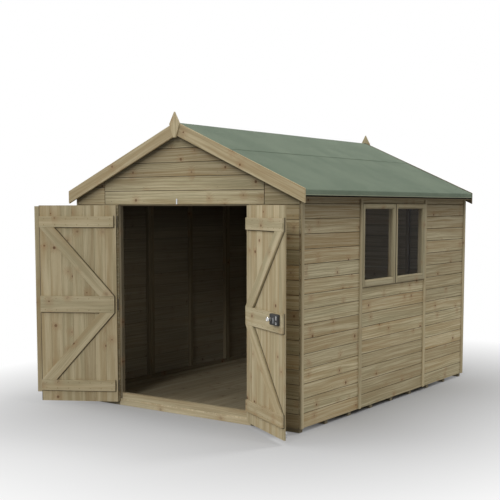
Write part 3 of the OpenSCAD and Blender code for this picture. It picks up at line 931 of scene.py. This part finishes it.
def solid_boxes(node, place=Matrix()):
    """The boxes of a node's single solids, in the frame of a matrix."""
    boxes, back = [], place.inverted()
    for piece in solids_of(node):
        points = np.array([back @ v.co for v in piece.data.vertices])
        boxes.append((points.min(axis=0), points.max(axis=0)))
        drop(piece)
    return sorted(boxes, key=lambda box: tuple(box[0]))


panes = solid_boxes("window_panes")
rail_boxes = solid_boxes("window_rails")
print("panes", len(panes), "rails", len(rail_boxes))

# %% Window frames
CHAMFER = 0.013
TOUCH = 0.0005


def cut_across(piece, height):
    """Adds a ring of edges round an upright at a height."""
    focus(piece)
    bpy.ops.object.mode_set(mode="EDIT")
    bpy.ops.mesh.select_all(action="SELECT")
    bpy.ops.mesh.bisect(plane_co=(0, 0, height), plane_no=UP)
    bpy.ops.object.mode_set(mode="OBJECT")


def chamfered_bar(piece):
    """Takes a wide chamfer off a bar's edge beside the pane, stopped where the bars meet."""
    points = np.array([v.co for v in piece.data.vertices])
    low, high = points.min(axis=0), points.max(axis=0)
    middle = (low + high) / 2
    pane_lo, pane_hi = min(panes, key=lambda box: np.linalg.norm((box[0] + box[1]) / 2 - middle))
    upright = high[2] - low[2] > high[1] - low[1]
    axis = 1 if upright else 2
    inner = low[axis] if middle[axis] > (pane_lo[axis] + pane_hi[axis]) / 2 else high[axis]
    if upright:
        cut_across(piece, max(box[1][2] for box in rail_boxes if box[1][2] < middle[2]))
        cut_across(piece, min(box[0][2] for box in rail_boxes if box[0][2] > middle[2]))

    def beside_pane(a, b):
        on_face = min(a.x, b.x) > high[0] - TOUCH
        on_edge = max(abs(a[axis] - inner), abs(b[axis] - inner)) < TOUCH
        at_pane = pane_lo[2] - 0.001 < (a.z + b.z) / 2 < pane_hi[2] + 0.001
        return on_face and on_edge and at_pane and (a - b).length > 0.2

    bevel_edges(piece, beside_pane, CHAMFER, 1)
    return piece


for node in ("window_stiles", "window_rails"):
    pieces = [chamfered_bar(piece) for piece in solids_of(node)]
    for piece in pieces:
        ease_edges(piece, 0.0015)
        mark_grain(piece.data, long_axes(piece.data))
    finish_piece(join(node + "_timber", pieces), window_timber, "shed", "treated_timber", node)

# %% Panes
glass = Finish("window_glass", roughness=0.04, ior=1.5)
glass.set("Base Color", srgb(24, 20, 15))
glass.set("Alpha", 0.12)
glass.set("Specular IOR Level", 0.25)
pane_slots = frame["nodes"]["window_panes"].data.materials
pane_slots.clear()
pane_slots.append(glass.material)
print("panes have", pane_slots[0].name)

# %% [markdown]
# ## Felt
# Mineral felt is a bitumen sheet covered with green chippings, so it is matt and gritty, with slow changes of
# tone, and a paler band runs along its lower hem. The eaves battens behind the hem are painted near black, as
# painted shadow under the eaves, and their foot the brown of shaded timber, as painted shade. The sheets
# could stay as flat CAD solids, but real felt is folded and never quite flat, so the folds are rounded with a
# bevel and the sheets are cut across and lifted a little in slow waves.

# %% Felt finish and painted eaves shadow
FELT_HEM, SHADED_FOOT = 0.006, 0.009


def felt_finish():
    """Green chippings with pale and dark grains, and a paler hem."""
    finish = Finish("green_mineral_felt", roughness=0.95)
    here = finish.object_place()
    grit = finish.noise(here, 420.0, 2.0, 0.6)
    cloud = finish.noise(here, 2.2, 3.0, 0.6)
    colour = finish.mix(finish.ramp(cloud, 0.3, 0.7), srgb(93, 107, 89), srgb(107, 120, 101))
    colour = finish.mix(finish.ramp(grit, 0.52, 0.68) * 0.6, colour, srgb(142, 152, 134))
    colour = finish.mix(finish.ramp(grit, 0.48, 0.33) * 0.6, colour, srgb(50, 60, 50))
    z = finish.place()[2]
    hem = 1 - (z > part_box("felt_right")[0][2] + FELT_HEM)
    finish.set("Base Color", finish.mix(hem * 0.6, colour, srgb(168, 168, 142)))
    finish.bump(grit, 0.5, 0.0015)
    return finish.material


def eaves_shadow_finish():
    """Painted shadow on a batten: near black with blotches, and its foot the brown of shaded timber."""
    finish = Finish("painted_eaves_shadow", roughness=0.9)
    finish.set("Specular IOR Level", 0.05)
    blotch = finish.noise(finish.object_place(), 14.0, 3.0, 0.6)
    colour = finish.mix(finish.ramp(blotch, 0.35, 0.7), srgb(16, 14, 12), srgb(30, 26, 21))
    z = finish.place()[2]
    shaded_foot = 1 - (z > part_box("eaves_battens")[0][2] + SHADED_FOOT)
    finish.set("Base Color", finish.mix(shaded_foot, colour, srgb(104, 93, 72)))
    finish.bump(blotch, 0.3, 0.001)
    return finish.material


felt = felt_finish()
eaves_shadow = eaves_shadow_finish()
timbers("eaves_battens", eaves_shadow, edge=0.002, slot="framing_timber")

# %% Felt sheets with soft folds at the eaves and the ridge
EAVES_FOLD, RIDGE_FOLD = 0.007, 0.02
FELT_CUTS, FELT_RISE = 40, 0.0015
LONG = 1.0


def soften_sheet(piece, cuts, rise):
    """Cuts a sheet across its length and lets it lie unevenly, by no more than the rise."""
    pick_edges(piece, lambda a, b: abs(a.y - b.y) > LONG)
    bpy.ops.mesh.subdivide(number_cuts=cuts)
    bpy.ops.object.mode_set(mode="OBJECT")
    turns = [(dice.uniform(2, 5), dice.uniform(3, 7), dice.uniform(0, 6)) for _ in range(4)]
    for vertex in piece.data.vertices:
        x, y, _ = vertex.co
        wave = sum(math.sin(x * a + y * b + c) for a, b, c in turns) / 8 + 0.5
        vertex.co.z += rise * wave
        vertex.co.x += math.copysign(rise * wave, x) if abs(x) > 1.2 else 0.0
    focus(piece)
    bpy.ops.object.shade_smooth_by_angle(angle=math.radians(40))


def on_ridge(a, b):
    """True for the long edges over the ridge."""
    return max(abs(a.x), abs(b.x)) < TOUCH and abs(a.y - b.y) > LONG


for node in ("felt_left", "felt_right", "felt_ridge"):
    piece = join(node + "_sheet", solids_of(node))
    lo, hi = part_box(node)
    edge_x = max(abs(lo[0]), abs(hi[0]))
    if node == "felt_ridge":
        bevel_edges(piece, on_ridge, RIDGE_FOLD, 4)
    else:
        shoulder = max(v.co.z for v in piece.data.vertices if abs(abs(v.co.x) - edge_x) < TOUCH)
        bevel_edges(piece, lambda a, b: min(abs(a.x), abs(b.x)) > edge_x - TOUCH
                    and min(a.z, b.z) > shoulder - TOUCH and abs(a.y - b.y) > LONG, EAVES_FOLD, 4)
    soften_sheet(piece, FELT_CUTS, FELT_RISE)
    finish_piece(piece, felt, "shed", "roof_felt", node)

# %% [markdown]
# ## Ironwork
# The hinges are brown lacquered steel and the rim lock's case is dark lacquered. The bolt, its keep and the
# lock's covers are zinc-plated, the knob is polished, the door screws are yellow-passivated and the nails
# have weathered dull. Lacquer is speckled and scuffed, and plating is metallic with a slightly blotched
# roughness. The flat plates come from the CAD solids with eased edges.

# %% Metal finishes
def lacquer_finish(name, dark, bright, worn):
    """Speckled lacquer on steel, scuffed in places."""
    finish = Finish(name, roughness=0.45)
    here = finish.object_place()
    speck = finish.noise(here, 300.0, 2.0, 0.5)
    scuff = finish.noise(here, 18.0, 4.0, 0.7)
    colour = finish.mix(finish.ramp(speck, 0.4, 0.7), dark, bright)
    finish.set("Base Color", finish.mix(finish.ramp(scuff, 0.62, 0.75) * 0.5, colour, worn))
    finish.set("Roughness", scuff * 0.3 + 0.32)
    finish.bump(speck, 0.2, 0.0006)
    return finish.material


def plated_finish(name, dark, bright, roughness):
    """Plated metal with a slight bloom."""
    finish = Finish(name, metallic=1.0)
    bloom = finish.noise(finish.object_place(), 60.0, 3.0, 0.6)
    finish.set("Base Color", finish.mix(finish.ramp(bloom, 0.35, 0.7), dark, bright))
    finish.set("Roughness", bloom * 0.25 + roughness)
    finish.bump(bloom, 0.12, 0.0006)
    return finish.material


zinc = plated_finish("zinc_plate", srgb(178, 180, 182), srgb(216, 218, 220), 0.22)
polished = plated_finish("polished_knob", srgb(226, 226, 224), srgb(244, 244, 242), 0.04)
passivated = plated_finish("yellow_passivated_screws", srgb(120, 102, 66), srgb(150, 128, 84), 0.35)
lacquer = lacquer_finish("dark_lacquer", srgb(40, 41, 42), srgb(58, 59, 60), srgb(96, 96, 94))
hinge_lacquer = lacquer_finish("brown_lacquer", srgb(92, 83, 66), srgb(110, 100, 80), srgb(128, 118, 98))
print("metals", [metal.name for metal in (zinc, polished, passivated, lacquer, hinge_lacquer)])

# %% Plates, straps and bolts from the CAD solids
def steel(node, material, body, slot, edge):
    """One smooth steel piece from a node's solids."""
    piece = join(node + "_steel", solids_of(node, edge))
    focus(piece)
    bpy.ops.object.shade_smooth_by_angle(angle=TURN_LIMIT)
    return finish_piece(piece, material, body, slot, node)


steel("hinge_plates", hinge_lacquer, "shed", "dark_metal", 0.0008)
steel("left_door_straps", hinge_lacquer, "left_door", "dark_metal", 0.0008)
steel("right_door_straps", hinge_lacquer, "right_door", "dark_metal", 0.0008)
steel("bolt_keep", zinc, "shed", "zinc_steel", 0.0006)
steel("foot_bolt", zinc, "right_door", "zinc_steel", 0.0008)
steel("rim_lock_case", lacquer, "right_door", "dark_metal", 0.003)

# %% [markdown]
# ## Rim lock
# The lock is a flat case on the middle ledge with a turned knob, two covers at its latch end and a snib. The
# knob could be spun from a profile, but drawing a circle out and scaling it step by step closes both ends at
# once and leaves no seam. The covers and the snib are small plates with eased edges.

# %% Turned knob
KNOB_SIDES = 24
KNOB_SHAPE = [(0.0, 0.62), (0.10, 0.62), (0.14, 0.45), (0.40, 0.42), (0.52, 0.80), (0.62, 0.97), (0.78, 1.0),
              (0.92, 0.95), (0.98, 0.84), (1.0, 0.70), (0.965, 0.62)]


def turned(name, rings):
    """A turned piece along Z: a circle drawn out ring by ring, each given as (height, radius)."""
    start, radius = rings[0]
    bpy.ops.object.select_all(action="DESELECT")
    bpy.ops.mesh.primitive_circle_add(vertices=KNOB_SIDES, radius=radius, fill_type="NGON",
                                      location=(0, 0, 0))
    piece = bpy.context.object
    piece.name = name
    bpy.ops.object.mode_set(mode="EDIT")
    bpy.ops.mesh.select_mode(type="FACE")
    bpy.ops.mesh.select_all(action="SELECT")
    bpy.ops.transform.translate(value=(0, 0, start))
    for (low, before), (high, after) in zip(rings, rings[1:]):
        bpy.ops.mesh.extrude_region_move(TRANSFORM_OT_translate={"value": (0, 0, high - low)})
        share = after / before
        bpy.ops.transform.resize(value=(share, share, 1), center_override=(0, 0, high))
    face_outward(piece)
    bpy.ops.object.shade_smooth_by_angle(angle=TURN_LIMIT)
    return piece


door_place = leaf_frame("right")
knob_lo, knob_hi = box_in("rim_lock_knob", door_place)
knob_r = (knob_hi[2] - knob_lo[2]) / 2
knob_l = knob_hi[1] - knob_lo[1]
knob = turned("rim_lock_turn", [(h * knob_l, r * knob_r) for h, r in KNOB_SHAPE])
middle = Vector(((knob_lo[0] + knob_hi[0]) / 2, knob_lo[1], (knob_lo[2] + knob_hi[2]) / 2))
knob.data.transform(door_place @ Matrix.Translation(middle) @ Matrix.Rotation(-math.pi / 2, 4, "X"))
finish_piece(knob, polished, "right_door", "zinc_steel", "rim_lock_knob")

# %% Covers and snib on the lock case
case_lo, case_hi = box_in("rim_lock_case", door_place)
face = case_hi[1] - 0.001
free = case_lo[0] if abs(case_lo[0]) > abs(case_hi[0]) else case_hi[0]
inward = math.copysign(1, -free)
mid_z = (case_lo[2] + case_hi[2]) / 2
PLATE_EDGE = 0.0012


def plate(name, low, high):
    """A small plate given by two corners in the right leaf's frame, with eased edges."""
    low, high = Vector(low), Vector(high)
    bpy.ops.object.select_all(action="DESELECT")
    bpy.ops.mesh.primitive_cube_add(size=1, location=(0, 0, 0))
    made = bpy.context.object
    made.name = name
    made.data.transform(Matrix.Translation((low + high) / 2) @ Matrix.Diagonal((*(high - low), 1)))
    bpy.ops.object.mode_set(mode="EDIT")
    bpy.ops.mesh.select_all(action="SELECT")
    bpy.ops.mesh.bevel(offset=PLATE_EDGE, segments=2, affect="EDGES")
    bpy.ops.object.mode_set(mode="OBJECT")
    made.data.transform(door_place)
    return made


def lock_detail(name, near, far, z0, z1, stand):
    """A plate on the case, given by its distances from the case's end at the leaf's free edge."""
    x0, x1 = sorted((free + inward * near, free + inward * far))
    return plate(name, (x0, face, mid_z + z0), (x1, face + stand, mid_z + z1))


covers = [lock_detail("latch_cover", 0.003, 0.018, 0.000, 0.030, 0.003),
          lock_detail("bolt_cover", 0.003, 0.018, -0.034, -0.014, 0.003)]
finish_piece(join("rim_lock_covers", covers), zinc, "right_door", "zinc_steel")
dull_plate = plated_finish("dull_snib", srgb(140, 142, 144), srgb(172, 174, 176), 0.45)
snib = lock_detail("rim_lock_snib", 0.044, 0.056, -0.026, 0.016, 0.009)
finish_piece(snib, dull_plate, "right_door", "dark_metal")

# %% [markdown]
# ## Nails and screws
# Boards are nailed to every stud they cross, just above their lower edge, and ledges are screwed through each
# door board. Both heads are a short cylinder whose top is drawn in to a rim: a nail's is raised a little, a
# screw's is sunk to a driving recess. Dots in the wood's colour would be quicker, but would not catch light.
# The heads have few faces because there are hundreds.

# %% Nail and screw heads
HEAD_DEPTH = 0.003


def pick_faces(piece, test):
    """Selects the faces whose middle and normal pass a test, and leaves the piece in edit mode."""
    focus(piece)
    bpy.ops.object.mode_set(mode="EDIT")
    bpy.ops.mesh.select_mode(type="FACE")
    bpy.ops.mesh.select_all(action="DESELECT")
    bpy.ops.object.mode_set(mode="OBJECT")
    for face in piece.data.polygons:
        face.select = test(face.center, face.normal)
    bpy.ops.object.mode_set(mode="EDIT")


def headed(name, sides, radius, stand, insets):
    """A head along Z that stands proud of the wood, its top drawn in by insets of (thickness, depth)."""
    bpy.ops.object.select_all(action="DESELECT")
    bpy.ops.mesh.primitive_cylinder_add(vertices=sides, radius=radius, depth=HEAD_DEPTH, location=(0, 0, 0))
    head = bpy.context.object
    head.name = name
    head.data.transform(Matrix.Translation((0, 0, stand - HEAD_DEPTH / 2)))
    pick_faces(head, lambda middle, normal: normal.z > 0.9)
    for thickness, depth in insets:
        bpy.ops.mesh.inset(thickness=thickness, depth=depth)
    bpy.ops.object.mode_set(mode="OBJECT")
    return head


nail = headed("nail_head", 8, 0.0028, 0.0004, [(0.001, 0.0003)])
screw = headed("screw_head", 10, 0.0042, 0.0005, [(0.0008, 0.0003), (0.0014, -0.001)])
print("faces of a head", len(nail.data.polygons), len(screw.data.polygons))

# %% Where nails go
NAIL_RISE, TOP_ROOM = 0.027, 0.03
CLEAR = 0.01


def heights(foot, top, row):
    """A nail's height in each row of boards from foot to top."""
    return [foot + i * row + NAIL_RISE for i in range(int((top - foot - TOP_ROOM) / row) + 1)]


def slope_top(x):
    """How high nails go under the roof's slope."""
    return RIDGE_SEAT - abs(x) * math.tan(PITCH) - TOP_ROOM


def in_window(y, z):
    """True where the windows take the boards' place."""
    return window_lo[2] < z < window_hi[2] and window_lo[1] - CLEAR < y < window_hi[1] + CLEAR


print("nails up to", round(slope_top(0), 3), "m under the ridge")

# %% Nails in the walls
GABLE_NAILS = (-0.78, -0.4, 0.4, 0.78)


def set_heads(name, model, spots, material, body, slot):
    """Copies of a head, each with its own mesh, at (point, outward direction)."""
    heads = []
    for point, outward in spots:
        head = twin(model)
        turn = Vector(outward).to_track_quat("Z", "Y").to_matrix().to_4x4()
        head.data.transform(Matrix.Translation(point) @ turn)
        heads.append(head)
    print(name, len(heads))
    return finish_piece(join(name, heads), material, body, slot)


spots = []
for node, side in (("left_studs", -1), ("right_studs", 1)):
    for lo, hi in solid_boxes(node):
        y = (lo[1] + hi[1]) / 2
        for z in heights(CLAD_FOOT, side_hi[2], ROW):
            if lo[2] < z < hi[2] and not (side > 0 and in_window(y, z)):
                spots.append(((side * outer_x, y, z), (side, 0, 0)))
front_face = FRONT_CLAD[0][1]
rear_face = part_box("rear_wall_left")[1][1]
low_lo, low_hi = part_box("front_wall_left")
low_rows = heights(low_lo[2], low_hi[2], (low_hi[2] - low_lo[2]) / FRONT_ROWS)
for lo, hi in solid_boxes("front_studs"):
    x = (lo[0] + hi[0]) / 2
    if abs(x) > abs(low_hi[0]):
        spots += [((x, front_face, z), (0, -1, 0)) for z in low_rows if z > lo[2]]
for x in GABLE_NAILS:
    spots += [((x, front_face, z), (0, -1, 0)) for z in heights(low_hi[2], slope_top(x), ROW)]
for lo, hi in solid_boxes("rear_studs"):
    x = (lo[0] + hi[0]) / 2
    rows = heights(CLAD_FOOT, min(hi[2], slope_top(x)), ROW)
    spots += [((x, rear_face, z), (0, 1, 0)) for z in rows if z > lo[2]]
weathered = plated_finish("weathered_nails", srgb(92, 87, 76), srgb(118, 112, 100), 0.55)
set_heads("wall_nails", nail, spots, weathered, "shed", "zinc_steel")

# %% Screws in the doors and hinges
SCREW_EDGE = 0.022
STRAP_SCREWS = (0.07, 0.15, 0.23, 0.30)
LONG_STRAP = 0.1


def behind_lock(x, z):
    """True where the lock's case covers the ledge."""
    return case_lo[0] - CLEAR < x < case_hi[0] + CLEAR and case_lo[2] - CLEAR < z < case_hi[2] + CLEAR


for side, way in (("left", 1), ("right", -1)):
    body = side + "_door"
    place = leaf_frame(side)
    inside = place.to_3x3() @ Vector((0, 1, 0))
    board_lo, board_hi = box_in(body + "_boards", place)
    board = (board_hi[0] - board_lo[0]) / DOOR_COUNT
    spots = []
    for lo, hi in solid_boxes(body + "_ledges", place):
        for i in range(DOOR_COUNT):
            x = board_lo[0] + (i + 0.5) * board
            for z in (lo[2] + SCREW_EDGE, hi[2] - SCREW_EDGE):
                if lo[0] + CLEAR < x < hi[0] - CLEAR and not (side == "right" and behind_lock(x, z)):
                    spots.append((place @ Vector((x, hi[1], z)), inside))
    set_heads(body + "_screws", screw, spots, passivated, body, "zinc_steel")
    spots = []
    for lo, hi in solid_boxes(body + "_straps", place):
        if hi[0] - lo[0] > LONG_STRAP:
            level = (lo[2] + hi[2]) / 2
            spots += [(place @ Vector((way * x, lo[1], level)), -inside) for x in STRAP_SCREWS]
    set_heads(side + "_strap_screws", screw, spots, hinge_lacquer, body, "dark_metal")

drop(nail)
drop(screw)

# %% [markdown]
# ## Floor and light
# A pale floor catches the soft shadow and fades into white further out, as the photograph's does. Four soft
# lamps stand far off, behind, on the right, on the left and in front, and weak white surroundings fill the
# rest. The camera, gloss and glass see the surroundings as plain white. A stronger sky would also give a
# white background, but it would bleach the timber.

# %% Rays that show the background
def background_rays(nodes):
    """1 for rays that show the background: straight from the camera, or by way of gloss or glass."""
    rays = nodes.node("ShaderNodeLightPath").socket.node.outputs
    camera_ray = Wire(nodes.tree, rays["Is Camera Ray"])
    glossy_ray = Wire(nodes.tree, rays["Is Glossy Ray"])
    clear_ray = Wire(nodes.tree, rays["Is Transmission Ray"])
    return camera_ray.most(glossy_ray).most(clear_ray)


# %% Floor that fades into white
FLOOR_SIZE, FLOOR_AT = 120, (0.20, -0.10, -0.001)
FLOOR_GREY, FLOOR_BOUNCE = (0.31, 0.31, 0.31, 1), (0.46, 0.45, 0.44, 1)
GREY_HALF_X, GREY_HALF_Y, SIDE_PACE = 0.8, 0.7, 1.4
FADE_FROM, FADE_OVER = 0.2, 3.5
bpy.ops.object.select_all(action="DESELECT")
bpy.ops.mesh.primitive_plane_add(size=FLOOR_SIZE, location=FLOOR_AT)
floor = bpy.context.object
floor.name = "studio_floor"
pale = Finish("pale_floor", roughness=0.95)
floor.data.materials.append(pale.material)
pale.set("Base Color", FLOOR_GREY)
east, north, _ = pale.place()
aside = (abs(east) - GREY_HALF_X).most(0.0) * SIDE_PACE
beyond = (abs(north) - GREY_HALF_Y).most(0.0)
reach = (aside * aside + beyond * beyond) ** 0.5
fade = ((reach - FADE_FROM) / FADE_OVER).most(0.0).least(1.0)
glow = pale.node("ShaderNodeEmission", sockets={"Strength": 1.0, "Color": WHITE})
shown = pale.choose(fade, Wire(pale.tree, pale.shader.outputs[0]), glow)
bounce = pale.node("ShaderNodeBsdfDiffuse", sockets={"Color": FLOOR_BOUNCE})
surface = pale.tree.nodes["Material Output"].inputs["Surface"]
plug(pale.tree, surface, pale.choose(background_rays(pale), bounce, shown))
print("floor", floor.name)

# %% Surroundings
FILL = 0.29
world = bpy.data.worlds.new("studio_world")
bpy.context.scene.world = world
world.use_nodes = True
sky = Nodes(world.node_tree)
soft = sky.node("ShaderNodeBackground", sockets={"Color": WHITE, "Strength": FILL})
white = sky.node("ShaderNodeBackground", sockets={"Color": WHITE, "Strength": 1.0})
surface = sky.tree.nodes["World Output"].inputs["Surface"]
plug(sky.tree, surface, sky.choose(background_rays(sky), soft, white))
print("surroundings", world.name)

# %% Lamps
LAMP_FAR = 8


def soft_sun(name, towards, strength, spread):
    """A wide lamp so far off that it lights all sides evenly, named by the direction it stands in."""
    bpy.ops.object.light_add(type="SUN", location=Vector(towards) * LAMP_FAR)
    made = bpy.context.object
    made.name = name
    made.data.energy = strength
    made.data.angle = math.radians(spread)
    made.rotation_euler = Vector(towards).to_track_quat("Z", "Y").to_euler()


soft_sun("back_lamp", (0.26, 0.53, 0.81), 1.2, 12)
soft_sun("right_lamp", (0.66, 0.05, 0.74), 0.50, 16)
soft_sun("left_lamp", (-0.70, -0.34, 0.63), 1.16, 50)
soft_sun("front_lamp", (0.18, -0.86, 0.48), 0.97, 20)
